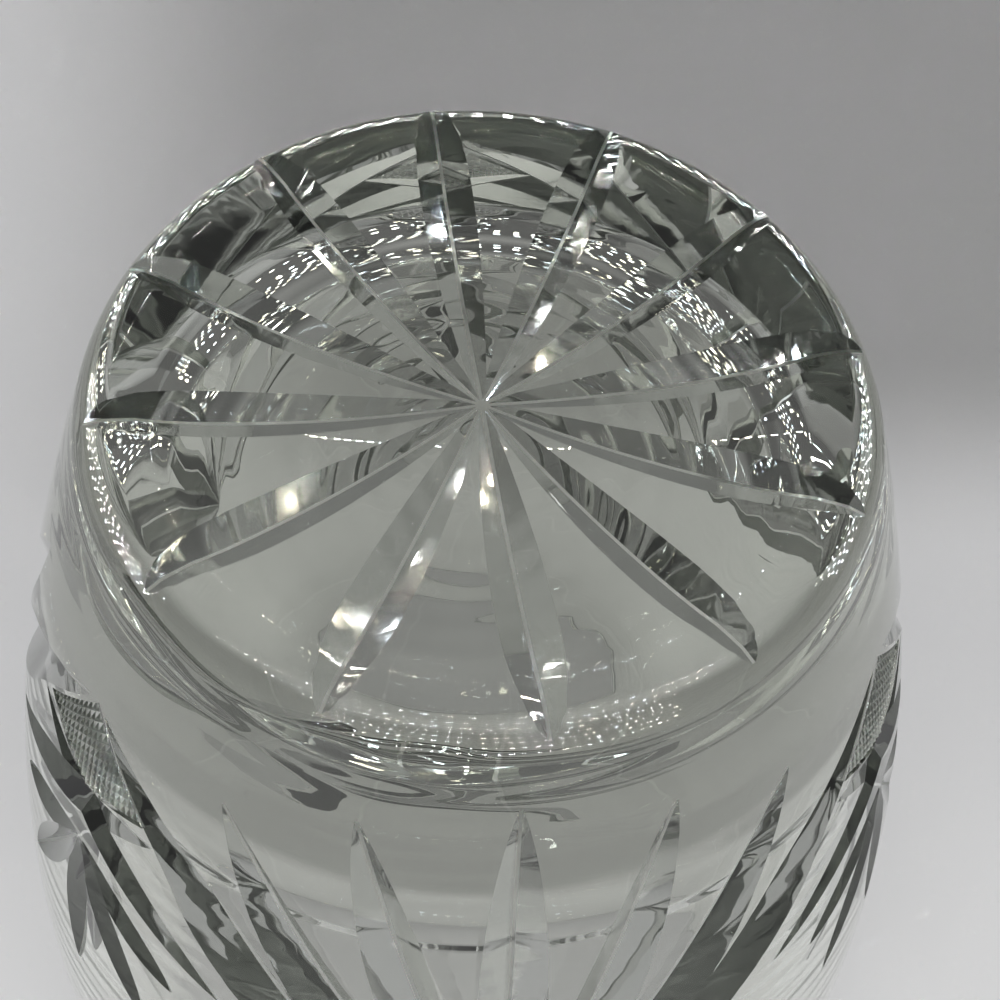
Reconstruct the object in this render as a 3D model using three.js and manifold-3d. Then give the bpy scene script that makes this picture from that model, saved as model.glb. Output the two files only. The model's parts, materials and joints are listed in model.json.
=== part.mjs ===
// A heavy mixing glass of clear cut crystal, standing on its rim with its star-cut base up.
// Millimetres, +Z up, the origin at the centre of the rim plane, the middle of one fan of cuts facing -Y.
import * as THREE from "three";
import { mergeVertices } from "three/addons/utils/BufferGeometryUtils.js";
import Module from "manifold-3d";

const wasm = await Module();
wasm.setup();

// Driving sizes of the vessel
const HEIGHT = 150;
const BELLY_RADIUS = 48.7;
const WALL = 5;
const FLOOR_THICKNESS = 14;

// Outside of the base: a hollowed centre, a flat standing ring and a rounded heel
const HUB_RECESS = 3.3;
const RING_INNER_RADIUS = 28;
const RING_OUTER_RADIUS = 30;
const HEEL_RADIUS = 33.44;
const HEEL_DROP = 3.2;

// Outside of the wall: it flares from the heel to the belly, draws in to a neck and opens at the rim
const FLARE_DROP = 90.2; // how far below the heel the belly is widest
const NECK_RADIUS = 45.8;
const NECK_HEIGHT = 14;
const RIM_RADIUS = 46.5;
const RIM_WALL = 3.4;
const RIM_ROUND = 0.8;
const THIN_WALL_HEIGHT = HEIGHT / 3; // the wall thins from here down to the rim

// Inside
const FLOOR_RADIUS = 19;
const FLOOR_CORNER = 10;

// Pouring lip
const LIP_AZIMUTH = THREE.MathUtils.degToRad(90);
const LIP_REACH = 2.2; // keeps the lip inside the belly's radius
const LIP_HALF_ANGLE = THREE.MathUtils.degToRad(22);
const LIP_HEIGHT = 13;

// Cuts: V grooves from one wheel, so depth and width keep one ratio
const V_HALF_ANGLE = THREE.MathUtils.degToRad(60);
const CUT_LIFT = 1; // how far the cutting solid stands above the surface
const CUT_END = 0.3; // how far the groove's bottom is above the surface at its ends

// Star in the base
const STAR_RAYS = 12;
const STAR_TURN = THREE.MathUtils.degToRad(3.5);
const STAR_RADIUS = 32.5;
const STAR_DEPTH = 1.25;
const STAR_HUB_DEPTH = 0.15;
const STAR_WIDEST = 0.7; // share of the ray's length at which it is widest

// Wall pattern: each repeat holds one fan and one crossed panel. A point of it is a turn from its
// motif's centre line, in degrees, and a drop below the standing ring.
const REPEATS = 3;
const FAN_DEPTH = 1.75;
const FAN_FOOT = [0, 62]; // where the straight cuts of a fan meet
const FAN_TIPS = [
  [0, 5.5],
  [20.5, 8.4],
  [38.2, 12.8],
];
const ARC_DEPTH = 1.95;
const ARC_POINTS = [[60, 15.5], [43, 25], [34, 32.5], [17, 48], FAN_FOOT]; // bounds a fan
const BAR_DEPTH = 1.3;
const BAR_POINTS = [
  [-15, 25.4],
  [-1, 29.6],
  [12, 34.7],
  [27, 42.2],
];
const LEAF_DEPTH = 1.15;
const LEAF_START = [0, 36]; // where the spray of leaves below the crossed bars starts
const LEAF_ENDS = [
  [0, 62],
  [14.5, 57],
  [19, 46],
];

// Facets
const TURN_STEPS = 48;
const HEEL_STEPS = 5;
const RECESS_STEPS = 3;
const FLARE_STEPS = 8;
const NECK_STEPS = 3;
const CORNER_STEPS = 4;
const CUT_STEPS = 6;

// Working tolerances
const SLOPE_STEP = 0.5; // half the distance over which an outline's slope is measured
const AHEAD = 0.25; // share of a cutter's step over which its direction is measured
const SAME_PLACE = 1e-3; // corners closer than this are one corner

// Radius of the outside at a height between the rim and the foot of the heel.
function wallRadius(z) {
  const heelFoot = HEIGHT - HEEL_DROP;
  const belly = heelFoot - FLARE_DROP;
  if (z >= belly) {
    const left = (z - belly) / FLARE_DROP;
    return BELLY_RADIUS - (BELLY_RADIUS - HEEL_RADIUS) * left * left;
  }
  if (z >= NECK_HEIGHT) {
    const share = (z - NECK_HEIGHT) / (belly - NECK_HEIGHT);
    const ease = (1 - Math.cos(Math.PI * share)) / 2;
    return NECK_RADIUS + (BELLY_RADIUS - NECK_RADIUS) * ease;
  }
  const open = 1 - z / NECK_HEIGHT;
  return NECK_RADIUS + (RIM_RADIUS - NECK_RADIUS) * open * open;
}

// Half-axes of the ellipse that rounds the heel, and the angle where it meets the wall's slope.
function heelArc() {
  const wallSlope = (2 * (BELLY_RADIUS - HEEL_RADIUS)) / FLARE_DROP;
  const share = (wallSlope * HEEL_DROP) / (HEEL_RADIUS - RING_OUTER_RADIUS);
  const cosine = share / (1 - share);
  const angle = Math.acos(cosine);
  const across = (HEEL_RADIUS - RING_OUTER_RADIUS) / Math.sin(angle);
  return { across, down: HEEL_DROP / (1 - cosine), angle };
}

const heel = heelArc();

// Point of the heel's rounded outline, from the standing ring (0) to the wall (1).
function heelPoint(share) {
  const angle = share * heel.angle;
  const radius = RING_OUTER_RADIUS + heel.across * Math.sin(angle);
  return new THREE.Vector2(radius, HEIGHT - heel.down * (1 - Math.cos(angle)));
}

// Height of the base at a radius inside the heel.
function baseHeight(radius) {
  if (radius < RING_INNER_RADIUS) {
    return HEIGHT - HUB_RECESS * (1 - (radius / RING_INNER_RADIUS) ** 2);
  }
  if (radius < RING_OUTER_RADIUS) {
    return HEIGHT;
  }
  const out = Math.min(1, (radius - RING_OUTER_RADIUS) / heel.across);
  return HEIGHT - heel.down * (1 - Math.sqrt(1 - out ** 2));
}

// Inner radius of the wall at a height, thinner towards the rim.
function innerRadius(z) {
  const share = Math.min(1, z / THIN_WALL_HEIGHT);
  return wallRadius(z) - (RIM_WALL + (WALL - RIM_WALL) * share);
}

// Half outline of the glass: over the base and down the outside, then up the inside to the floor.
function vesselOutline() {
  const heelFoot = HEIGHT - HEEL_DROP;
  const belly = heelFoot - FLARE_DROP;
  const floor = HEIGHT - HUB_RECESS - FLOOR_THICKNESS;
  const cornerFoot = floor - FLOOR_CORNER;
  const outline = [];
  const wallDown = (from, to, steps, radiusAt) => {
    for (let i = 1; i <= steps; i++) {
      const z = from + ((to - from) * i) / steps;
      outline.push(new THREE.Vector2(radiusAt(z), z));
    }
  };
  for (let i = 0; i <= RECESS_STEPS; i++) {
    const radius = (RING_INNER_RADIUS * i) / RECESS_STEPS;
    outline.push(new THREE.Vector2(radius, baseHeight(radius)));
  }
  for (let i = 0; i <= HEEL_STEPS; i++) {
    outline.push(heelPoint(i / HEEL_STEPS));
  }
  wallDown(heelFoot, belly, FLARE_STEPS, wallRadius);
  wallDown(belly, NECK_HEIGHT, NECK_STEPS, wallRadius);
  outline.push(new THREE.Vector2(RIM_RADIUS, RIM_ROUND));
  outline.push(new THREE.Vector2(RIM_RADIUS - RIM_ROUND, 0));
  outline.push(new THREE.Vector2(RIM_RADIUS - RIM_WALL + RIM_ROUND, 0));
  outline.push(new THREE.Vector2(RIM_RADIUS - RIM_WALL, RIM_ROUND));
  wallDown(0, NECK_HEIGHT, 1, innerRadius);
  wallDown(NECK_HEIGHT, belly, NECK_STEPS, innerRadius);
  wallDown(belly, cornerFoot, FLARE_STEPS, innerRadius);
  const cornerOut = innerRadius(cornerFoot);
  for (let i = 1; i <= CORNER_STEPS; i++) {
    const angle = (i / CORNER_STEPS) * (Math.PI / 2);
    const radius = FLOOR_RADIUS + (cornerOut - FLOOR_RADIUS) * Math.cos(angle);
    outline.push(new THREE.Vector2(radius, cornerFoot + FLOOR_CORNER * Math.sin(angle)));
  }
  outline.push(new THREE.Vector2(0, floor));
  return outline.reverse(); // the lathe faces outwards when its outline runs from the floor
}

// Pulls the rim outwards over a short arc to make the pouring lip.
function pullLip(geometry) {
  const place = geometry.attributes.position;
  for (let i = 0; i < place.count; i++) {
    const x = place.getX(i);
    const y = place.getY(i);
    const z = place.getZ(i);
    const turn = Math.abs(Math.atan2(y, x) - LIP_AZIMUTH);
    if (z < LIP_HEIGHT && turn < LIP_HALF_ANGLE) {
      const across = (1 + Math.cos((Math.PI * turn) / LIP_HALF_ANGLE)) / 2;
      const up = (1 - z / LIP_HEIGHT) ** 2;
      const grow = 1 + (LIP_REACH * across * up) / Math.hypot(x, y);
      place.setXY(i, x * grow, y * grow);
    }
  }
}

// A closed geometry as a manifold solid, with its shared corners merged.
function solidFrom(geometry) {
  const bare = geometry.clone();
  bare.deleteAttribute("normal");
  bare.deleteAttribute("uv");
  const merged = mergeVertices(bare, SAME_PLACE);
  const corners = merged.index.array;
  const kept = [];
  for (let i = 0; i < corners.length; i += 3) {
    const [a, b, c] = corners.slice(i, i + 3);
    if (a !== b && b !== c && c !== a) {
      kept.push(a, b, c);
    }
  }
  const vertProperties = merged.attributes.position.array;
  const triVerts = new Uint32Array(kept);
  return new wasm.Manifold(new wasm.Mesh({ numProp: 3, vertProperties, triVerts }));
}

// A manifold solid as a geometry with flat facets.
function geometryFrom(solid) {
  const mesh = solid.getMesh();
  const geometry = new THREE.BufferGeometry();
  geometry.setAttribute("position", new THREE.BufferAttribute(mesh.vertProperties, 3));
  geometry.setIndex(new THREE.BufferAttribute(mesh.triVerts, 1));
  const flat = geometry.toNonIndexed();
  flat.computeVertexNormals();
  return flat;
}

// The cutting solid of one V groove. place(t) gives a point of the surface and its outward normal,
// and depth(t) gives the groove's depth there, for t from 0 to 1.
function grooveCutter(place, depth, steps) {
  const corners = [];
  const faces = [];
  const step = 1 / steps;
  for (let i = 0; i <= steps; i++) {
    const t = i * step;
    const { point, normal } = place(t);
    const ahead = place(Math.min(1, t + AHEAD * step)).point;
    const along = ahead.sub(place(Math.max(0, t - AHEAD * step)).point).normalize();
    const side = new THREE.Vector3().crossVectors(normal, along).normalize();
    const deep = depth(t);
    const half = (deep + CUT_LIFT) * Math.tan(V_HALF_ANGLE);
    const bottom = point.clone().addScaledVector(normal, -deep);
    const top = point.clone().addScaledVector(normal, CUT_LIFT);
    const left = top.clone().addScaledVector(side, half);
    const right = top.clone().addScaledVector(side, -half);
    corners.push(...bottom.toArray(), ...left.toArray(), ...right.toArray());
  }
  faces.push(0, 2, 1);
  for (let i = 0; i < steps; i++) {
    const here = 3 * i;
    const next = here + 3;
    for (let k = 0; k < 3; k++) {
      const other = (k + 1) % 3;
      faces.push(here + k, here + other, next + k);
      faces.push(here + other, next + other, next + k);
    }
  }
  const last = 3 * steps;
  faces.push(last, last + 1, last + 2);
  const geometry = new THREE.BufferGeometry();
  geometry.setAttribute("position", new THREE.Float32BufferAttribute(corners, 3));
  geometry.setIndex(faces);
  return solidFrom(geometry);
}

// Depth of a lens-shaped cut that rises out of the surface at both ends.
function lensDepth(deepest) {
  return (t) => (deepest + CUT_END) * Math.sin(Math.PI * t) - CUT_END;
}

// Place along one ray of the star, from the hub to its tip on the heel.
function starPlace(azimuth) {
  return (t) => {
    const radius = t * STAR_RADIUS;
    const height = baseHeight(radius);
    const rise = baseHeight(radius + SLOPE_STEP) - baseHeight(Math.abs(radius - SLOPE_STEP));
    const slope = rise / (2 * SLOPE_STEP);
    const outward = new THREE.Vector3(Math.cos(azimuth), Math.sin(azimuth), 0);
    const normal = outward.clone().multiplyScalar(-slope).setZ(1).normalize();
    return { point: outward.multiplyScalar(radius).setZ(height), normal };
  };
}

// Depth of a star ray: shallow at the hub, deepest past the middle, out at the tip.
function starDepth(t) {
  if (t < STAR_WIDEST) {
    const grow = Math.sin((Math.PI / 2) * (t / STAR_WIDEST));
    return STAR_HUB_DEPTH + (STAR_DEPTH - STAR_HUB_DEPTH) * grow;
  }
  const fall = Math.sqrt(1 - ((t - STAR_WIDEST) / (1 - STAR_WIDEST)) ** 2);
  return (STAR_DEPTH + CUT_END) * fall - CUT_END;
}

// Place along a cut in the wall, on one side of its motif's centre line or mirrored to the other.
function wallPlace(points, centre, side) {
  const curve = new THREE.SplineCurve(points.map(([turn, drop]) => new THREE.Vector2(turn, drop)));
  return (t) => {
    const { x: turn, y: drop } = curve.getPoint(t);
    const azimuth = centre + side * THREE.MathUtils.degToRad(turn);
    const z = HEIGHT - drop;
    const slope = (wallRadius(z + SLOPE_STEP) - wallRadius(z - SLOPE_STEP)) / (2 * SLOPE_STEP);
    const radius = wallRadius(z);
    const outward = new THREE.Vector3(Math.cos(azimuth), Math.sin(azimuth), 0);
    const normal = outward.clone().setZ(-slope).normalize();
    return { point: outward.multiplyScalar(radius).setZ(z), normal };
  };
}

function wallCutter(points, deepest, centre, side) {
  return grooveCutter(wallPlace(points, centre, side), lensDepth(deepest), CUT_STEPS);
}

// Each motif gives its cuts on one side of its centre line, and the mirrored ones on the other.
function mirrored(make, onCentreLine) {
  return onCentreLine ? [make(1)] : [make(1), make(-1)];
}

function fanCutters(centre) {
  const rays = FAN_TIPS.flatMap((tip) => {
    const onCentreLine = tip[0] === 0;
    return mirrored((side) => wallCutter([tip, FAN_FOOT], FAN_DEPTH, centre, side), onCentreLine);
  });
  return rays.concat(mirrored((side) => wallCutter(ARC_POINTS, ARC_DEPTH, centre, side), false));
}

function panelCutters(centre) {
  const leaves = LEAF_ENDS.flatMap((end) => {
    const onCentreLine = end[0] === 0;
    return mirrored((side) => wallCutter([LEAF_START, end], LEAF_DEPTH, centre, side), onCentreLine);
  });
  return leaves.concat(mirrored((side) => wallCutter(BAR_POINTS, BAR_DEPTH, centre, side), false));
}

function starCutters() {
  const rays = [];
  for (let i = 0; i < STAR_RAYS; i++) {
    const azimuth = STAR_TURN + (i * 2 * Math.PI) / STAR_RAYS;
    rays.push(grooveCutter(starPlace(azimuth), starDepth, CUT_STEPS));
  }
  return rays;
}

function glassBody() {
  const blank = new THREE.LatheGeometry(vesselOutline(), TURN_STEPS);
  blank.rotateX(Math.PI / 2);
  pullLip(blank);
  const cutters = starCutters();
  for (let i = 0; i < REPEATS; i++) {
    const fanCentre = -Math.PI / 2 + (i * 2 * Math.PI) / REPEATS;
    cutters.push(...fanCutters(fanCentre));
    cutters.push(...panelCutters(fanCentre + Math.PI / REPEATS));
  }
  const cut = cutters.reduce((solid, cutter) => solid.subtract(cutter), solidFrom(blank));
  const crystal = new THREE.MeshStandardMaterial({ color: 0xdfe6e4, roughness: 0.03, metalness: 0 });
  const body = new THREE.Mesh(geometryFrom(cut), crystal);
  body.name = "glass_body";
  return body;
}

const mixingGlass = new THREE.Group();
mixingGlass.add(glassBody());

export default mixingGlass;
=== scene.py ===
"""A mixing glass of heavy cut crystal, standing on its rim with the star-cut base up, in a pale light box.

Metres, +Z up. The rim's centre is the origin, and one fan of cuts faces -Y.
"""

import json
import math

import bmesh
import bpy
from mathutils import Euler, Matrix, Vector, noise

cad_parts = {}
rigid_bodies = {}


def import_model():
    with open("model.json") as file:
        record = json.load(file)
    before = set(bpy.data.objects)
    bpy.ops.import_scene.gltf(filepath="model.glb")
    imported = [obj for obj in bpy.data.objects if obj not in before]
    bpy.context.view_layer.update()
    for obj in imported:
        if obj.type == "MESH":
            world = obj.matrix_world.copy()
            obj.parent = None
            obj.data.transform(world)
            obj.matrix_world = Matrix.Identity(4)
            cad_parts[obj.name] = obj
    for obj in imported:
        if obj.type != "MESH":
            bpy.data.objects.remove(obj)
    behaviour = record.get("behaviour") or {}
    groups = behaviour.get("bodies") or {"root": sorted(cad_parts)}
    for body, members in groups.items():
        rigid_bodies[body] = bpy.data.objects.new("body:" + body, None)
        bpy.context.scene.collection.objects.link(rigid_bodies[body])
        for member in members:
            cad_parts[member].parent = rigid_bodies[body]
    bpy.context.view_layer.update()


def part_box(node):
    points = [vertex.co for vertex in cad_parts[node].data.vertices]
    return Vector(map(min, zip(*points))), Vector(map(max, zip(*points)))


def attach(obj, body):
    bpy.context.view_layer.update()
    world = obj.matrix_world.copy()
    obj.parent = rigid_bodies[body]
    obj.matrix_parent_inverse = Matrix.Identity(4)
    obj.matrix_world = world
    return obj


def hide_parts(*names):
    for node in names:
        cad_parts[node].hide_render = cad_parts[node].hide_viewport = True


MM = 0.001
TAU = 2 * math.pi

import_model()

# Driving sizes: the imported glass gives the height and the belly's radius.
high_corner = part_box("glass_body")[1]
HEIGHT = high_corner.z
BELLY_RADIUS = high_corner.x
WALL = 5 * MM
FLOOR_THICKNESS = 14 * MM

# Outside of the base: a hollowed centre, a flat standing ring and a rounded heel.
HUB_RECESS = 3.3 * MM
RING_INNER_RADIUS = 28 * MM
RING_OUTER_RADIUS = 30 * MM
HEEL_RADIUS = 33.44 * MM
HEEL_DROP = 3.2 * MM

# Outside of the wall, from the heel down to the rim.
FLARE_DROP = 90.2 * MM
NECK_RADIUS = 45.8 * MM
NECK_HEIGHT = 14 * MM
RIM_RADIUS = 46.5 * MM
RIM_WALL = 3.4 * MM
RIM_EDGE_SHARE = 0.6  # of half the rim's thickness, taken by each rounded edge
RIM_EDGE = RIM_WALL / 2 * RIM_EDGE_SHARE
WALL_FOOT = 1.5 * RIM_EDGE
TAPER_HEIGHT = HEIGHT / 3

# Inside: a flat floor with a rounded corner.
FLOOR_RADIUS = 19 * MM
FLOOR_CORNER = 10 * MM
FLOOR_HEIGHT = HEIGHT - HUB_RECESS - FLOOR_THICKNESS
CORNER_FOOT = FLOOR_HEIGHT - FLOOR_CORNER

# Rings that the forming leaves inside: two waves, whose place and strength wander round the axis.
RIPPLE_HEIGHT = 0.014 * MM
RIPPLE_LENGTH = 3.1 * MM
RIPPLE_STEP = 0.55 * MM
RIPPLE_GROWTH = 4.4  # times as high on the floor as on the wall
GROWTH_LEAD = 0.5  # share of the corner's height by which the growth starts below it
RIPPLE_FADE = 8 * MM
SECOND_SHARE = 0.7
SECOND_LENGTH = 1.62 * RIPPLE_LENGTH
SECOND_WANDER = 1.7
WANDER_LENGTH = 30 * MM
WANDER_ANGLE = 3
WANDER_SCALE = 1.3
STRENGTH_MEAN = 0.6
STRENGTH_SWING = 0.6
STRENGTH_SCALE = 2.1
STRENGTH_OFFSET = Vector((9, 4, 2))

# Pouring lip.
LIP_AZIMUTH = math.radians(90)
LIP_REACH = 2.2 * MM
LIP_HALF_ANGLE = math.radians(22)
LIP_HEIGHT = 13 * MM

# Cuts: V grooves from one wheel, with a narrow flat where the wheel's edge is worn.
V_HALF_ANGLE = math.radians(60)
V_SLOPE = math.tan(V_HALF_ANGLE)
CUT_LIFT = 0.8 * MM
CUT_END = 0.3 * MM
CREASE_WIDTH = 0.28 * MM
FLAT_SIDE = 3  # which of the four sides of a cutter is the flat that makes the crease

# Star in the base.
STAR_RAYS = 12
STAR_TURN = math.radians(3.5)
STAR_RADIUS = 32.5 * MM
STAR_DEPTH = 1.25 * MM
STAR_HUB_DEPTH = 0.15 * MM
STAR_WIDEST = 0.7

# Wall pattern: drops are below the standing ring, turns are degrees from a motif's centre line.
REPEATS = 3
FAN_FOOT = (0, 62)
FAN_TIPS = ((0, 5.5), (20.5, 8.4), (38.2, 12.8))
ARC_POINTS = ((60, 15.5), (43, 25), (34, 32.5), (17, 48), FAN_FOOT)
BAR_POINTS = ((-15, 25.4), (-1, 29.6), (12, 34.7), (27, 42.2))
LEAF_START = (0, 36)
LEAF_ENDS = ((0, 62), (14.5, 57), (19, 46))
FAN_DEPTH = 1.75 * MM
ARC_DEPTH = 1.95 * MM
BAR_DEPTH = 1.3 * MM
LEAF_DEPTH = 1.15 * MM

# Kinds of surface, kept in the attribute "cut".
POLISHED = 0
FACET = 1
GROUND = 2

# Hatched panels: a kite of small pyramids.
PANEL_CORNERS = ((0, 16.3), (11.5, 24.5), (0, 28.2), (-11.5, 24.5))
PANEL_CELLS = 11
PYRAMID_DEPTH = 0.45 * MM
PYRAMID_TIP = 0.04 * MM

# Mesh resolution.
TURN_STEPS = 198
HUB_STEPS = 20
HEEL_STEPS = 16
OUTSIDE_STEPS = 110
RIM_STEPS = 8
CUT_STEPS = 22
SLOPE_REACH = 0.3 * MM
MERGE_DISTANCE = 0.001 * MM
SHARP_ANGLE = math.radians(17)

# Crystal.
GLASS_IOR = 1.54
GLASS_COLOUR = (0.965, 0.975, 0.935)
# Painted shade: the cuts' facets are coloured grey, though the real facets are as clear as the rest.
FACET_PAINTED_SHADE = (0.46, 0.47, 0.45)
DEPTH_COLOUR = (0.855, 0.863, 0.85)
DEPTH_DENSITY = 70
SMEAR_SCALE = 90
SMEAR_DETAIL = 3
SMEAR_RANGE = (0.35, 0.75)
SMEAR_ROUGHNESS = (0, 0.03)
WHEEL_SCALE = 400
WHEEL_DETAIL = 2
WHEEL_RANGE = (0.3, 0.7)
WHEEL_ROUGHNESS = (0.03, 0.06)
GROUND_ROUGHNESS = 0.25

# Paper floor: painted light makes it pale in front of the glass; behind it the paper is greyer, with
# painted shade there except at the left.
PAPER_SIZE = 1.2
PAPER_GAP = 0.2 * MM
PAPER_ROUGHNESS = 0.85
PAPER_SPECULAR = 0.2
PAPER_BEHIND = (0.72, 0.72, 0.73)
# Painted light: the paler paper in front of the glass.
PAPER_FRONT_PAINTED_LIGHT = (0.86, 0.86, 0.865)
# Painted shade: the dark paper behind the glass.
PAPER_PAINTED_SHADE = (0.365, 0.365, 0.365)
BLACK = (0, 0, 0)
# Places along Y where the painted light begins and where it is full.
PAINTED_LIGHT_START = 0.07
PAINTED_LIGHT_END = -0.02
TOOTH_SCALE = 7
TOOTH_DETAIL = 4
TOOTH_RANGE = (0.2, 0.8)
TOOTH_LEVELS = (0.97, 1)
# Painted shade: where it begins and is full along Y, and where it begins and is full across X.
SHADE_START = 0.07
SHADE_END = 0.12
SHADE_LEFT = -0.09
SHADE_RIGHT = -0.01

# Sides of the light box, in quarter turns from the front.
FRONT_SIDE = 0
RIGHT_SIDE = 1
BACK_SIDE = 2
LEFT_SIDE = 3

# Strips of small lamps on the light box. Elevations are in degrees above the base, from the axis.
LIGHT_BOX = 0.35
BOX_CORNER = 50 * MM
BEAD_STRENGTH = 210
BEAD_WARM = (1, 0.93, 0.72)
BEAD_COOL = (0.75, 0.88, 1)
TONE_SCALE = 40
TONE_RANGE = (0.3, 0.7)
BEFORE_FIRST_BOUNCE = 0.5  # compared with a whole number of diffuse bounces
BEAD_ELEVATIONS = (4, 10, 16, 22, 28)
BEAD_SIZE = Vector((3, 3, 3)) * MM
BEAD_GAP = 15 * MM
BEAD_NEAREST = -0.05
DASH_FRONT_ELEVATIONS = (2, 12, 22, 32, 42, 52)
DASH_CEILING_PLACES = (0.05, 0.16, 0.26)
DASH_SIZE = Vector((4.6, 1.5, 1.5)) * MM
DASH_GAP = 17 * MM
FINE_BACK_ELEVATION = 50
FINE_SIZE = Vector((0.7, 0.26, 0.26)) * MM
FINE_GAP = 2.2 * MM

# Light from the walls of the light box. Each range is the part of a direction over which it eases in.
WALL_LIGHT = (0.12, 0.12, 0.12)
LEFT_LIGHT = (0.18, 0.18, 0.18)
FRONT_LIGHT = (0.42, 0.42, 0.417)
CEILING_LIGHT = (0.4, 0.4, 0.4)
LEFT_RANGE = (-0.3, 0.8)
FRONT_RANGE = (0, 0.8)
CEILING_RANGE = (0.5, 0.85)

# Two lamps over the glass, which aren't seen themselves. Only the softbox casts shadows.
LAMP_AIM = (0, 0, 0.1)
SOFTBOX_PLACE = (-0.05, -0.35, 0.75)
SOFTBOX_SIZE = 0.6
SOFTBOX_POWER = 1.6
FILL_PLACE = (-0.05, -0.08, 0.75)
FILL_SIZE = 0.9
FILL_POWER = 2.4

# Light paths.
GLASS_BOUNCES = 48
PAPER_BOUNCES = 3
INDIRECT_CLAMP = 15
GLOSSY_BLUR = 0.5

# Camera: close, looking down at the base from the front.
CAMERA_LENS = 62.9
CAMERA_SENSOR = 36
CAMERA_NEAREST = 0.005
CAMERA_FARTHEST = 10
CAMERA_AIM = Vector((0.2 * MM, -11.9 * MM, HEIGHT))
CAMERA_DISTANCE = 135.3 * MM
CAMERA_AZIMUTH = math.radians(-99.35)
CAMERA_ELEVATION = math.radians(55.66)
CAMERA_ROLL = math.radians(4.83)


def wall_radius(z):
    """Radius of the outside at a height between the rim and the foot of the heel."""
    belly = HEIGHT - HEEL_DROP - FLARE_DROP
    if z >= belly:
        return BELLY_RADIUS - (BELLY_RADIUS - HEEL_RADIUS) * ((z - belly) / FLARE_DROP) ** 2
    if z >= NECK_HEIGHT:
        share = (z - NECK_HEIGHT) / (belly - NECK_HEIGHT)
        return NECK_RADIUS + (BELLY_RADIUS - NECK_RADIUS) * (1 - math.cos(math.pi * share)) / 2
    return NECK_RADIUS + (RIM_RADIUS - NECK_RADIUS) * (1 - z / NECK_HEIGHT) ** 2


def inner_radius(z):
    """Radius of the inside at a height, where the wall thins towards the rim."""
    share = min(1, z / TAPER_HEIGHT)
    return wall_radius(z) - (RIM_WALL + (WALL - RIM_WALL) * share)


def heel_arc():
    """Half-axes of the ellipse that rounds the heel, and the angle where it meets the wall's slope."""
    wall_slope = 2 * (BELLY_RADIUS - HEEL_RADIUS) / FLARE_DROP
    share = wall_slope * HEEL_DROP / (HEEL_RADIUS - RING_OUTER_RADIUS)
    cosine = share / (1 - share)
    angle = math.acos(cosine)
    return (HEEL_RADIUS - RING_OUTER_RADIUS) / math.sin(angle), HEEL_DROP / (1 - cosine), angle


HEEL_ACROSS, HEEL_DOWN, HEEL_ANGLE = heel_arc()


def base_height(radius):
    """Height of the base's outside at a radius."""
    if radius < RING_INNER_RADIUS:
        return HEIGHT - HUB_RECESS * (1 - (radius / RING_INNER_RADIUS) ** 2)
    if radius < RING_OUTER_RADIUS:
        return HEIGHT
    out = min(1, (radius - RING_OUTER_RADIUS) / HEEL_ACROSS)
    return HEIGHT - HEEL_DOWN * (1 - math.sqrt(1 - out**2))


def spaced(start, end, steps):
    """Evenly spaced values after start, up to and including end."""
    return [start + (end - start) * i / steps for i in range(1, steps + 1)]


def outside_outline():
    """Points (radius, height) from beside the hub to the rim's outer edge."""
    points = [(r, base_height(r)) for r in spaced(0, RING_INNER_RADIUS, HUB_STEPS)]
    points += [(RING_OUTER_RADIUS, HEIGHT)]
    for angle in spaced(0, HEEL_ANGLE, HEEL_STEPS):
        radius = RING_OUTER_RADIUS + HEEL_ACROSS * math.sin(angle)
        points.append((radius, HEIGHT - HEEL_DOWN * (1 - math.cos(angle))))
    heel_foot = HEIGHT - HEEL_DROP
    points += [(wall_radius(z), z) for z in spaced(heel_foot, WALL_FOOT, OUTSIDE_STEPS)]
    return points


def rim_outline():
    """Points round the rim, which is flat in the middle and rounded at both edges."""
    inner_edge = RIM_RADIUS - RIM_WALL
    points = []
    for angle in spaced(0, math.pi / 2, RIM_STEPS):
        radius = RIM_RADIUS - RIM_EDGE * (1 - math.cos(angle))
        points.append((radius, RIM_EDGE * (1 - math.sin(angle))))
    for angle in [0] + spaced(0, math.pi / 2, RIM_STEPS):
        radius = inner_edge + RIM_EDGE * (1 - math.sin(angle))
        points.append((radius, RIM_EDGE * (1 - math.cos(angle))))
    return points


def inside_outline():
    """Points up the inside, from the rim to beside the floor's centre, close enough to carry the rings."""
    wall_steps = round(CORNER_FOOT / RIPPLE_STEP)
    points = [(inner_radius(z), z) for z in spaced(RIM_WALL / 2, CORNER_FOOT, wall_steps)]
    out = inner_radius(CORNER_FOOT)
    corner_length = math.pi / 2 * math.hypot(out - FLOOR_RADIUS, FLOOR_CORNER) / math.sqrt(2)
    corner_steps = round(corner_length / RIPPLE_STEP)
    for angle in spaced(0, math.pi / 2, corner_steps):
        radius = FLOOR_RADIUS + (out - FLOOR_RADIUS) * math.cos(angle)
        points.append((radius, CORNER_FOOT + FLOOR_CORNER * math.sin(angle)))
    floor_steps = round(FLOOR_RADIUS / RIPPLE_STEP)
    points += [(r, FLOOR_HEIGHT) for r in spaced(FLOOR_RADIUS, RIPPLE_STEP, floor_steps)]
    return points


def pulled_lip(point):
    """Moves a point near the rim outwards where the pouring lip is."""
    turn = abs(math.atan2(point.y, point.x) - LIP_AZIMUTH)
    if point.z > LIP_HEIGHT or turn > LIP_HALF_ANGLE:
        return point
    across = (1 + math.cos(math.pi * turn / LIP_HALF_ANGLE)) / 2
    grow = LIP_REACH * across * (1 - point.z / LIP_HEIGHT) ** 2
    out = Vector((point.x, point.y, 0)).normalized()
    return point + out * grow


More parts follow.
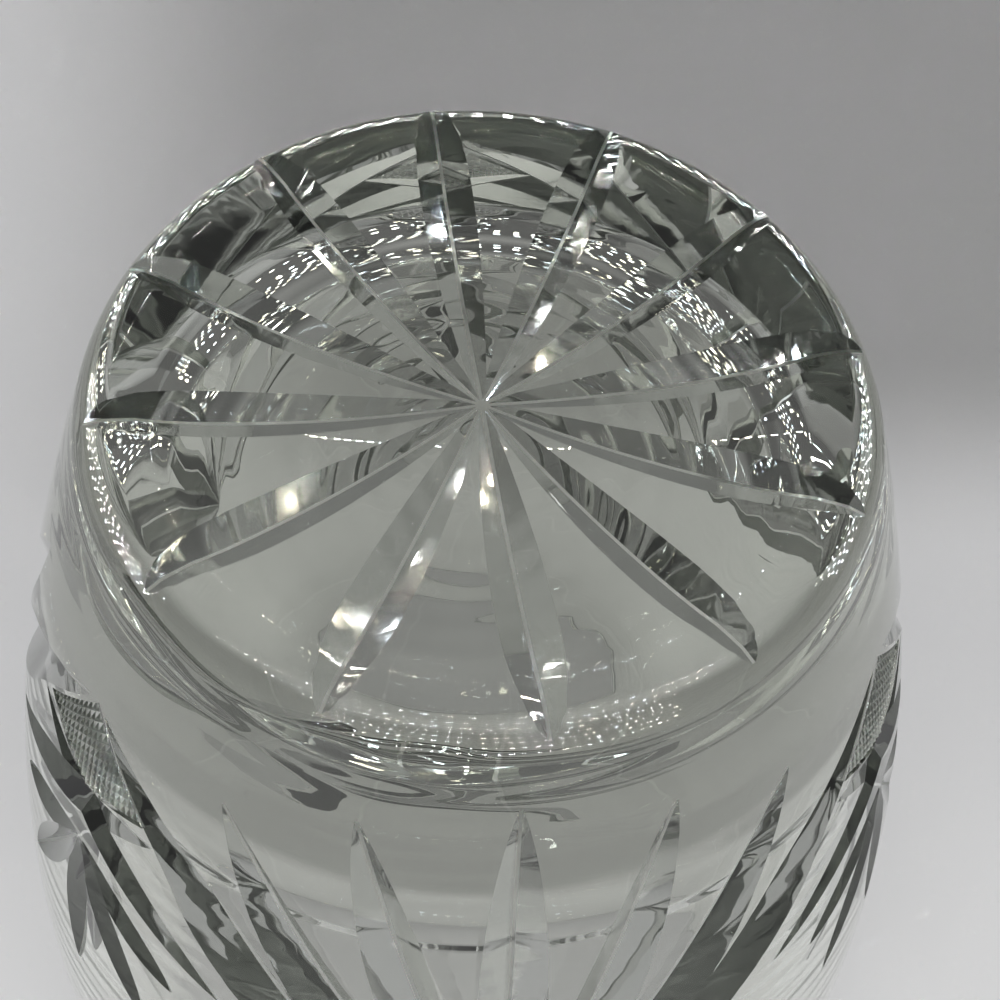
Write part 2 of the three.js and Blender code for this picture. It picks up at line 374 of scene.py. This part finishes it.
def ripple_at(travel, azimuth):
    """Height of the rings at a distance along the inside and an azimuth."""
    around = Vector((math.cos(azimuth), math.sin(azimuth), travel / WANDER_LENGTH))
    wander = WANDER_ANGLE * noise.noise(around * WANDER_SCALE)
    strength = STRENGTH_MEAN + STRENGTH_SWING * noise.noise(around * STRENGTH_SCALE + STRENGTH_OFFSET)
    first = math.sin(TAU * travel / RIPPLE_LENGTH + wander)
    second = SECOND_SHARE * math.sin(TAU * travel / SECOND_LENGTH - SECOND_WANDER * wander)
    return RIPPLE_HEIGHT * strength * (first + second)


def rippled_rows(outline):
    """Rows of points round the axis for the inside, moved along its normal by the rings."""
    travel = 0
    rows = []
    for index, (radius, z) in enumerate(outline):
        last = outline[max(index - 1, 0)]
        ahead = outline[min(index + 1, len(outline) - 1)]
        step = math.dist(last, ahead)
        across, up = (ahead[1] - last[1]) / step, (last[0] - ahead[0]) / step
        travel += math.dist(last, (radius, z))
        fade = min(1, travel / RIPPLE_FADE, (radius / RIPPLE_FADE) ** 2)
        grown = min(1, max(0, (z - CORNER_FOOT) / FLOOR_CORNER + GROWTH_LEAD))
        fade *= 1 + (RIPPLE_GROWTH - 1) * grown
        row = []
        for k in range(TURN_STEPS):
            angle = TAU * k / TURN_STEPS
            move = fade * ripple_at(travel, angle)
            out = radius + across * move
            row.append(Vector((out * math.cos(angle), out * math.sin(angle), z + up * move)))
        rows.append(row)
    return rows


def plain_rows(outline):
    """Rows of points round the axis for the outside and the rim."""
    angles = [TAU * k / TURN_STEPS for k in range(TURN_STEPS)]
    return [[Vector((r * math.cos(a), r * math.sin(a), z)) for a in angles] for r, z in outline]


def blank_mesh():
    """The uncut glass: one closed surface turned round the axis."""
    bm = bmesh.new()
    places = plain_rows(outside_outline() + rim_outline()) + rippled_rows(inside_outline())
    rows = [[bm.verts.new(pulled_lip(place)) for place in row] for row in places]
    hub = bm.verts.new((0, 0, HEIGHT - HUB_RECESS))
    floor = bm.verts.new((0, 0, FLOOR_HEIGHT))
    for k in range(TURN_STEPS):
        n = (k + 1) % TURN_STEPS
        bm.faces.new((hub, rows[0][k], rows[0][n]))
        bm.faces.new((floor, rows[-1][n], rows[-1][k]))
        for upper, lower in zip(rows, rows[1:]):
            bm.faces.new((upper[k], lower[k], lower[n], upper[n]))
    mesh = bpy.data.meshes.new("glass_body_cut")
    bm.to_mesh(mesh)
    bm.free()
    return mesh


def star_place(azimuth):
    """Gives the place along one ray of the star: a point of the base and its outward normal."""
    outward = Vector((math.cos(azimuth), math.sin(azimuth), 0))

    def place(t):
        radius = t * STAR_RADIUS
        rise = base_height(radius + SLOPE_REACH) - base_height(abs(radius - SLOPE_REACH))
        slope = rise / (2 * SLOPE_REACH)
        normal = (outward * -slope + Vector((0, 0, 1))).normalized()
        return outward * radius + Vector((0, 0, base_height(radius))), normal

    return place


def star_depth(t):
    """Depth of a star ray: shallow at the hub, deepest past the middle, out at the tip."""
    if t < STAR_WIDEST:
        grow = math.sin(math.pi / 2 * t / STAR_WIDEST)
        return STAR_HUB_DEPTH + (STAR_DEPTH - STAR_HUB_DEPTH) * grow
    fall = math.sqrt(1 - ((t - STAR_WIDEST) / (1 - STAR_WIDEST)) ** 2)
    return (STAR_DEPTH + CUT_END) * fall - CUT_END


def spline_point(points, t):
    """A point at share t of a Catmull-Rom curve through points in the plane."""
    spans = len(points) - 1
    span = min(int(t * spans), spans - 1)
    w = t * spans - span
    before = points[max(span - 1, 0)]
    start, end = points[span], points[span + 1]
    after = points[min(span + 2, spans)]
    result = []
    for p0, p1, p2, p3 in zip(before, start, end, after):
        v0, v1 = (p2 - p0) / 2, (p3 - p1) / 2
        cubic = (2 * p1 - 2 * p2 + v0 + v1) * w**3
        square = (-3 * p1 + 3 * p2 - 2 * v0 - v1) * w**2
        result.append(cubic + square + v0 * w + p1)
    return result


def wall_point(turn, drop, centre, side):
    """A point of the wall and its outward normal, from a turn in degrees and a drop in millimetres."""
    azimuth = centre + side * math.radians(turn)
    z = HEIGHT - drop * MM
    slope = (wall_radius(z + SLOPE_REACH) - wall_radius(z - SLOPE_REACH)) / (2 * SLOPE_REACH)
    outward = Vector((math.cos(azimuth), math.sin(azimuth), 0))
    return outward * wall_radius(z) + Vector((0, 0, z)), (outward - Vector((0, 0, slope))).normalized()


def wall_place(points, centre, side):
    """Gives the place along a cut in the wall."""

    def place(t):
        turn, drop = spline_point(points, t)
        return wall_point(turn, drop, centre, side)

    return place


def lens_depth(deepest):
    """Depth of a lens-shaped cut that rises out of the surface at both ends."""
    return lambda t: (deepest + CUT_END) * math.sin(math.pi * t) - CUT_END


def cutter_object(name, bm, scrap):
    """Makes a closed cutting solid that faces out, in the scrap collection."""
    bmesh.ops.recalc_face_normals(bm, faces=bm.faces)
    mesh = bpy.data.meshes.new(name)
    bm.to_mesh(mesh)
    bm.free()
    piece = bpy.data.objects.new(name, mesh)
    scrap.objects.link(piece)
    return piece


def groove_cutter(place, depth, scrap):
    """The cutting solid of one V groove with a narrow flat bottom."""
    bm = bmesh.new()
    rings = []
    step = 1 / CUT_STEPS
    reach = step / 4
    flat = CREASE_WIDTH / 2
    for i in range(CUT_STEPS + 1):
        t = i * step
        point, normal = place(t)
        along = place(min(1, t + reach))[0] - place(max(0, t - reach))[0]
        side = normal.cross(along).normalized()
        deep = depth(t)
        top = (deep + CUT_LIFT) * V_SLOPE + flat
        corners = ((-deep, flat), (CUT_LIFT, top), (CUT_LIFT, -top), (-deep, -flat))
        rings.append([bm.verts.new(point + normal * up + side * across) for up, across in corners])
    bm.faces.new(rings[0])
    bm.faces.new(rings[-1][::-1])
    for here, ahead in zip(rings, rings[1:]):
        for k in range(4):
            n = (k + 1) % 4
            face = bm.faces.new((here[k], ahead[k], ahead[n], here[n]))
            face.material_index = GROUND if k == FLAT_SIDE else FACET
    return cutter_object("groove_cutter", bm, scrap)


def wall_cutter(points, deepest, centre, side, scrap):
    """The cutting solid of one cut in the wall, through points (turn, drop)."""
    return groove_cutter(wall_place(points, centre, side), lens_depth(deepest), scrap)


def star_cutters(scrap):
    """The rays of the star in the base."""
    for k in range(STAR_RAYS):
        groove_cutter(star_place(STAR_TURN + TAU * k / STAR_RAYS), star_depth, scrap)


def motif_sides(turn):
    """The sides of a motif's centre line that a cut is made on: one if it lies on the line."""
    return (1,) if turn == 0 else (1, -1)


def fan_cutters(centre, scrap):
    """The straight cuts of one fan, and the two curved cuts that bound it."""
    for turn, drop in FAN_TIPS:
        for side in motif_sides(turn):
            wall_cutter(((turn, drop), FAN_FOOT), FAN_DEPTH, centre, side, scrap)
    for side in (1, -1):
        wall_cutter(ARC_POINTS, ARC_DEPTH, centre, side, scrap)


def leaf_cutters(centre, scrap):
    """The crossed bars below a panel and the spray of leaves below them."""
    for side in (1, -1):
        wall_cutter(BAR_POINTS, BAR_DEPTH, centre, side, scrap)
    for turn, drop in LEAF_ENDS:
        for side in motif_sides(turn):
            wall_cutter((LEAF_START, (turn, drop)), LEAF_DEPTH, centre, side, scrap)


def panel_cutter(centre, scrap):
    """The cutting solid of one hatched panel: its underside is a field of small pyramids."""
    n = PANEL_CELLS
    top_corner, right, bottom, left = PANEL_CORNERS

    def at(u, v, lift):
        turn_drop = []
        for a, b, c, d in zip(top_corner, right, bottom, left):
            turn_drop.append(a * (1 - u) * (1 - v) + b * u * (1 - v) + c * u * v + d * (1 - u) * v)
        point, normal = wall_point(*turn_drop, centre, 1)
        return point + normal * lift

    bm = bmesh.new()
    under = [[bm.verts.new(at(i / n, j / n, -PYRAMID_DEPTH)) for j in range(n + 1)] for i in range(n + 1)]
    over = [[bm.verts.new(at(i / n, j / n, CUT_LIFT)) for j in range(n + 1)] for i in range(n + 1)]
    for i in range(n):
        for j in range(n):
            tip = bm.verts.new(at((i + 0.5) / n, (j + 0.5) / n, -PYRAMID_TIP))
            ring = (under[i][j], under[i + 1][j], under[i + 1][j + 1], under[i][j + 1])
            for k in range(4):
                face = bm.faces.new((ring[k], ring[(k + 1) % 4], tip))
                face.material_index = GROUND
            bm.faces.new((over[i][j], over[i][j + 1], over[i + 1][j + 1], over[i + 1][j]))
    border = [(i, 0) for i in range(n)] + [(n, j) for j in range(n)]
    border += [(i, n) for i in range(n, 0, -1)] + [(0, j) for j in range(n, 0, -1)]
    for (i, j), (k, m) in zip(border, border[1:] + border[:1]):
        bm.faces.new((under[i][j], under[k][m], over[k][m], over[i][j]))
    return cutter_object("panel_cutter", bm, scrap)


def cut_glass():
    """The glass with every cut made in it, each face's material index giving its kind of surface."""
    piece = bpy.data.objects.new("crystal_body", blank_mesh())
    bpy.context.scene.collection.objects.link(piece)
    scrap = bpy.data.collections.new("cutters")
    bpy.context.scene.collection.children.link(scrap)
    star_cutters(scrap)
    for k in range(REPEATS):
        fan_centre = -math.pi / 2 + TAU * k / REPEATS
        panel_centre = fan_centre + math.pi / REPEATS
        panel_cutter(panel_centre, scrap)
        fan_cutters(fan_centre, scrap)
        leaf_cutters(panel_centre, scrap)
    kinds = [bpy.data.materials.new(name) for name in ("polished", "facet", "ground")]
    for piece_or_cutter in [piece, *scrap.objects]:
        for kind in kinds:
            piece_or_cutter.data.materials.append(kind)
    for cutter in scrap.objects:
        modifier = piece.modifiers.new("cut", "BOOLEAN")
        modifier.operation = "DIFFERENCE"
        modifier.solver = "MANIFOLD"
        modifier.object = cutter
    depsgraph = bpy.context.evaluated_depsgraph_get()
    mesh = bpy.data.meshes.new_from_object(piece.evaluated_get(depsgraph))
    piece.modifiers.clear()
    piece.data = mesh
    for cutter in list(scrap.objects):
        bpy.data.objects.remove(cutter)
    bpy.data.collections.remove(scrap)
    return piece


def shade(piece):
    """Smooth shading with every crease and cut edge kept sharp, and the kinds of surface moved to "cut"."""
    bm = bmesh.new()
    bm.from_mesh(piece.data)
    bmesh.ops.dissolve_degenerate(bm, dist=MERGE_DISTANCE, edges=bm.edges)
    for face in bm.faces:
        face.smooth = True
    for edge in bm.edges:
        crossing = len({face.material_index for face in edge.link_faces}) > 1
        edge.smooth = not crossing and edge.calc_face_angle(0) < SHARP_ANGLE
    cut = bm.faces.layers.float.new("cut")
    for face in bm.faces:
        face[cut] = float(face.material_index)
        face.material_index = 0
    bm.to_mesh(piece.data)
    bm.free()


def new_material(name):
    """A material with an empty node tree, with its nodes and links."""
    material = bpy.data.materials.new(name)
    material.use_nodes = True
    nodes = material.node_tree.nodes
    nodes.clear()
    return material, nodes, material.node_tree.links


def value_between(tree, value, low, high, bottom=0, top=1):
    """Eases a value from bottom to top while it goes from low to high."""
    ease = tree.nodes.new("ShaderNodeMapRange")
    ease.interpolation_type = "SMOOTHSTEP"
    ease.inputs["From Min"].default_value = low
    ease.inputs["From Max"].default_value = high
    ease.inputs["To Min"].default_value = bottom
    ease.inputs["To Max"].default_value = top
    tree.links.new(value, ease.inputs["Value"])
    return ease.outputs["Result"]


def worked(tree, operation, *values):
    """The result of a maths node on sockets or plain numbers."""
    maths = tree.nodes.new("ShaderNodeMath")
    maths.operation = operation
    for socket, value in zip(maths.inputs, values):
        if isinstance(value, bpy.types.NodeSocket):
            tree.links.new(value, socket)
        else:
            socket.default_value = value
    return maths.outputs["Value"]


def mixed(tree, share, first, second):
    """A colour between two colours, each a socket or an RGB triple."""
    mix = tree.nodes.new("ShaderNodeMix")
    mix.data_type = "RGBA"
    tree.links.new(share, mix.inputs["Factor"])
    for socket, value in ((mix.inputs["A"], first), (mix.inputs["B"], second)):
        if isinstance(value, bpy.types.NodeSocket):
            tree.links.new(value, socket)
        else:
            socket.default_value = (*value, 1)
    return mix.outputs["Result"]


def noise_at(tree, place, scale, detail):
    """The value of a noise texture at a place."""
    texture = tree.nodes.new("ShaderNodeTexNoise")
    texture.inputs["Scale"].default_value = scale
    texture.inputs["Detail"].default_value = detail
    tree.links.new(place, texture.inputs["Vector"])
    return texture.outputs["Fac"]


def crystal_material():
    """Heavy glass: clear where polished, a little softer in the cuts, with painted shade that greys their
    facets, grey-green in depth.
    """
    material, nodes, links = new_material("crystal")
    tree = material.node_tree
    output = nodes.new("ShaderNodeOutputMaterial")
    glass = nodes.new("ShaderNodeBsdfPrincipled")
    glass.inputs["Transmission Weight"].default_value = 1
    glass.inputs["IOR"].default_value = GLASS_IOR
    links.new(glass.outputs["BSDF"], output.inputs["Surface"])

    cut = nodes.new("ShaderNodeAttribute")
    cut.attribute_name = "cut"
    place = nodes.new("ShaderNodeNewGeometry").outputs["Position"]
    smeared = noise_at(tree, place, SMEAR_SCALE, SMEAR_DETAIL)
    smear = value_between(tree, smeared, *SMEAR_RANGE, *SMEAR_ROUGHNESS)
    grain = noise_at(tree, place, WHEEL_SCALE, WHEEL_DETAIL)
    wheel = value_between(tree, grain, *WHEEL_RANGE, *WHEEL_ROUGHNESS)
    facet = value_between(tree, cut.outputs["Fac"], POLISHED, FACET)
    ground = value_between(tree, cut.outputs["Fac"], FACET, GROUND, 0, GROUND_ROUGHNESS)
    not_ground = value_between(tree, cut.outputs["Fac"], FACET, GROUND, 1, 0)
    # Painted shade: the facets, but not the ground flats, are coloured grey.
    facet_painted_shade_share = worked(tree, "MULTIPLY", facet, not_ground)
    glass_tint_and_painted_shade = mixed(tree, facet_painted_shade_share, GLASS_COLOUR, FACET_PAINTED_SHADE)
    links.new(glass_tint_and_painted_shade, glass.inputs["Base Color"])
    rough_cut = worked(tree, "MULTIPLY_ADD", facet, wheel, ground)
    links.new(worked(tree, "ADD", smear, rough_cut), glass.inputs["Roughness"])

    depth = nodes.new("ShaderNodeVolumeAbsorption")
    depth.inputs["Color"].default_value = (*DEPTH_COLOUR, 1)
    depth.inputs["Density"].default_value = DEPTH_DENSITY
    links.new(depth.outputs["Volume"], output.inputs["Volume"])
    return material


def paper_material():
    """Matt paper with a faint tooth, pale in front with painted light and darker behind with painted shade.
    """
    material, nodes, links = new_material("paper")
    tree = material.node_tree
    output = nodes.new("ShaderNodeOutputMaterial")
    paper = nodes.new("ShaderNodeBsdfPrincipled")
    paper.inputs["Roughness"].default_value = PAPER_ROUGHNESS
    paper.inputs["Specular IOR Level"].default_value = PAPER_SPECULAR
    place = nodes.new("ShaderNodeNewGeometry").outputs["Position"]
    split = nodes.new("ShaderNodeSeparateXYZ")
    links.new(place, split.inputs["Vector"])
    # Painted light: paler paper in front of the glass.
    near = value_between(tree, split.outputs["Y"], PAINTED_LIGHT_START, PAINTED_LIGHT_END)
    plain = mixed(tree, near, PAPER_BEHIND, PAPER_FRONT_PAINTED_LIGHT)
    fibres = noise_at(tree, place, TOOTH_SCALE, TOOTH_DETAIL)
    tooth = value_between(tree, fibres, *TOOTH_RANGE, *TOOTH_LEVELS)
    pale = mixed(tree, tooth, BLACK, plain)
    # Painted shade: darker paper behind the glass, except at the left.
    back = value_between(tree, split.outputs["Y"], SHADE_START, SHADE_END)
    right = value_between(tree, split.outputs["X"], SHADE_LEFT, SHADE_RIGHT)
    shaded = worked(tree, "MULTIPLY", back, right)
    links.new(mixed(tree, shaded, pale, PAPER_PAINTED_SHADE), paper.inputs["Base Color"])
    links.new(paper.outputs["BSDF"], output.inputs["Surface"])
    return material


def make_floor():
    """A pale floor that the rim stands on."""
    bm = bmesh.new()
    bmesh.ops.create_grid(bm, x_segments=1, y_segments=1, size=PAPER_SIZE)
    mesh = bpy.data.meshes.new("floor")
    bm.to_mesh(mesh)
    bm.free()
    floor = bpy.data.objects.new("floor", mesh)
    bpy.context.scene.collection.objects.link(floor)
    floor.location.z = -PAPER_GAP
    mesh.materials.append(paper_material())


def bead_material():
    """Small bright lamps, warm to cool, that light nothing but the glass."""
    material, nodes, links = new_material("bead")
    tree = material.node_tree
    output = nodes.new("ShaderNodeOutputMaterial")
    glow = nodes.new("ShaderNodeEmission")
    place = nodes.new("ShaderNodeNewGeometry").outputs["Position"]
    tone = value_between(tree, noise_at(tree, place, TONE_SCALE, 0), *TONE_RANGE)
    links.new(mixed(tree, tone, BEAD_WARM, BEAD_COOL), glow.inputs["Color"])
    bounces = nodes.new("ShaderNodeLightPath").outputs["Diffuse Depth"]
    direct = worked(tree, "LESS_THAN", bounces, BEFORE_FIRST_BOUNCE)
    links.new(worked(tree, "MULTIPLY", direct, BEAD_STRENGTH), glow.inputs["Strength"])
    links.new(glow.outputs["Emission"], output.inputs["Surface"])
    material.cycles.emission_sampling = "NONE"
    return material


def add_strip(bm, side, out, height, size, gap, nearest=-LIGHT_BOX):
    """Lamps in one straight strip along a side of the light box, clear of its corners."""
    reach = LIGHT_BOX - BOX_CORNER
    count = round(2 * reach / gap)
    turn = Matrix.Rotation(side * math.pi / 2, 4, "Z")
    for k in range(count):
        point = Vector((2 * reach * ((k + 0.5) / count - 0.5), -out, height))
        placed = turn @ Matrix.Translation(point) @ Matrix.Diagonal((*size, 1))
        if placed.translation.y >= nearest:
            bmesh.ops.create_icosphere(bm, subdivisions=1, radius=1, matrix=placed)


def strip_height(elevation):
    """Height of a strip on a wall of the light box, seen at an elevation from the base's centre."""
    return HEIGHT + LIGHT_BOX * math.tan(math.radians(elevation))


def make_beads():
    """Strips of small lamps on the light box's walls and ceiling, seen only in and through the glass."""
    bm = bmesh.new()
    for elevation in BEAD_ELEVATIONS:
        for side in (RIGHT_SIDE, BACK_SIDE, LEFT_SIDE):
            add_strip(bm, side, LIGHT_BOX, strip_height(elevation), BEAD_SIZE, BEAD_GAP, BEAD_NEAREST)
    for elevation in DASH_FRONT_ELEVATIONS:
        add_strip(bm, FRONT_SIDE, LIGHT_BOX, strip_height(elevation), DASH_SIZE, DASH_GAP)
    for out in DASH_CEILING_PLACES:
        add_strip(bm, FRONT_SIDE, out, HEIGHT + LIGHT_BOX, DASH_SIZE, DASH_GAP)
    add_strip(bm, BACK_SIDE, LIGHT_BOX, strip_height(FINE_BACK_ELEVATION), FINE_SIZE, FINE_GAP)
    mesh = bpy.data.meshes.new("light_beads")
    bm.to_mesh(mesh)
    bm.free()
    beads = bpy.data.objects.new("light_beads", mesh)
    bpy.context.scene.collection.objects.link(beads)
    mesh.materials.append(bead_material())
    beads.visible_camera = False
    beads.visible_diffuse = False
    beads.visible_shadow = False


def make_world():
    """The walls of the light box: pale in front and above, dark elsewhere, a little less so at the left."""
    world = bpy.data.worlds.new("light_box")
    bpy.context.scene.world = world
    world.use_nodes = True
    tree = world.node_tree
    tree.nodes.clear()
    output = tree.nodes.new("ShaderNodeOutputWorld")
    background = tree.nodes.new("ShaderNodeBackground")
    direction = tree.nodes.new("ShaderNodeTexCoord").outputs["Generated"]
    split = tree.nodes.new("ShaderNodeSeparateXYZ")
    tree.links.new(direction, split.inputs["Vector"])
    forward = worked(tree, "MULTIPLY", split.outputs["Y"], -1)
    leftward = worked(tree, "MULTIPLY", split.outputs["X"], -1)
    up = value_between(tree, split.outputs["Z"], *CEILING_RANGE)
    front = value_between(tree, forward, *FRONT_RANGE)
    left = value_between(tree, leftward, *LEFT_RANGE)
    walls = mixed(tree, left, WALL_LIGHT, LEFT_LIGHT)
    around = mixed(tree, front, walls, FRONT_LIGHT)
    colour = mixed(tree, up, around, CEILING_LIGHT)
    tree.links.new(colour, background.inputs["Color"])
    tree.links.new(background.outputs["Background"], output.inputs["Surface"])


def make_lamp(name, place, size, power, shadow):
    """A round lamp that lights the paper and isn't itself seen."""
    lamp_data = bpy.data.lights.new(name, "AREA")
    lamp_data.shape = "DISK"
    lamp_data.size = size
    lamp_data.energy = power
    lamp = bpy.data.objects.new(name, lamp_data)
    bpy.context.scene.collection.objects.link(lamp)
    lamp.location = place
    lamp.rotation_mode = "QUATERNION"
    lamp.rotation_quaternion = (Vector(LAMP_AIM) - Vector(place)).to_track_quat("-Z", "Y")
    lamp.visible_camera = False
    lamp.visible_glossy = False
    lamp.visible_transmission = False
    lamp_data.use_shadow = shadow


def make_camera():
    """The photograph's camera."""
    data = bpy.data.cameras.new("camera")
    data.lens = CAMERA_LENS
    data.sensor_width = CAMERA_SENSOR
    data.clip_start = CAMERA_NEAREST
    data.clip_end = CAMERA_FARTHEST
    camera = bpy.data.objects.new("camera", data)
    bpy.context.scene.collection.objects.link(camera)
    level = math.cos(CAMERA_ELEVATION)
    up = math.sin(CAMERA_ELEVATION)
    back = Vector((level * math.cos(CAMERA_AZIMUTH), level * math.sin(CAMERA_AZIMUTH), up))
    camera.location = CAMERA_AIM + back * CAMERA_DISTANCE
    camera.rotation_mode = "QUATERNION"
    look = (-back).to_track_quat("-Z", "Y")
    camera.rotation_quaternion = look @ Euler((0, 0, CAMERA_ROLL)).to_quaternion()
    bpy.context.scene.camera = camera


def set_light_paths():
    """Enough bounces for light to cross the base, the bowl and both walls."""
    scene = bpy.context.scene
    scene.view_settings.view_transform = "Standard"
    cycles = scene.cycles
    cycles.max_bounces = GLASS_BOUNCES
    cycles.transmission_bounces = GLASS_BOUNCES
    cycles.glossy_bounces = GLASS_BOUNCES
    cycles.diffuse_bounces = PAPER_BOUNCES
    cycles.sample_clamp_indirect = INDIRECT_CLAMP
    cycles.blur_glossy = GLOSSY_BLUR
    cycles.use_denoising = True


make_camera()
body = cut_glass()
shade(body)
body.data.materials.clear()
body.data.materials.append(crystal_material())
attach(body, "root")
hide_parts("glass_body")

make_floor()
make_beads()
make_world()
make_lamp("softbox", SOFTBOX_PLACE, SOFTBOX_SIZE, SOFTBOX_POWER, shadow=True)
make_lamp("fill", FILL_PLACE, FILL_SIZE, FILL_POWER, shadow=False)
set_light_paths()
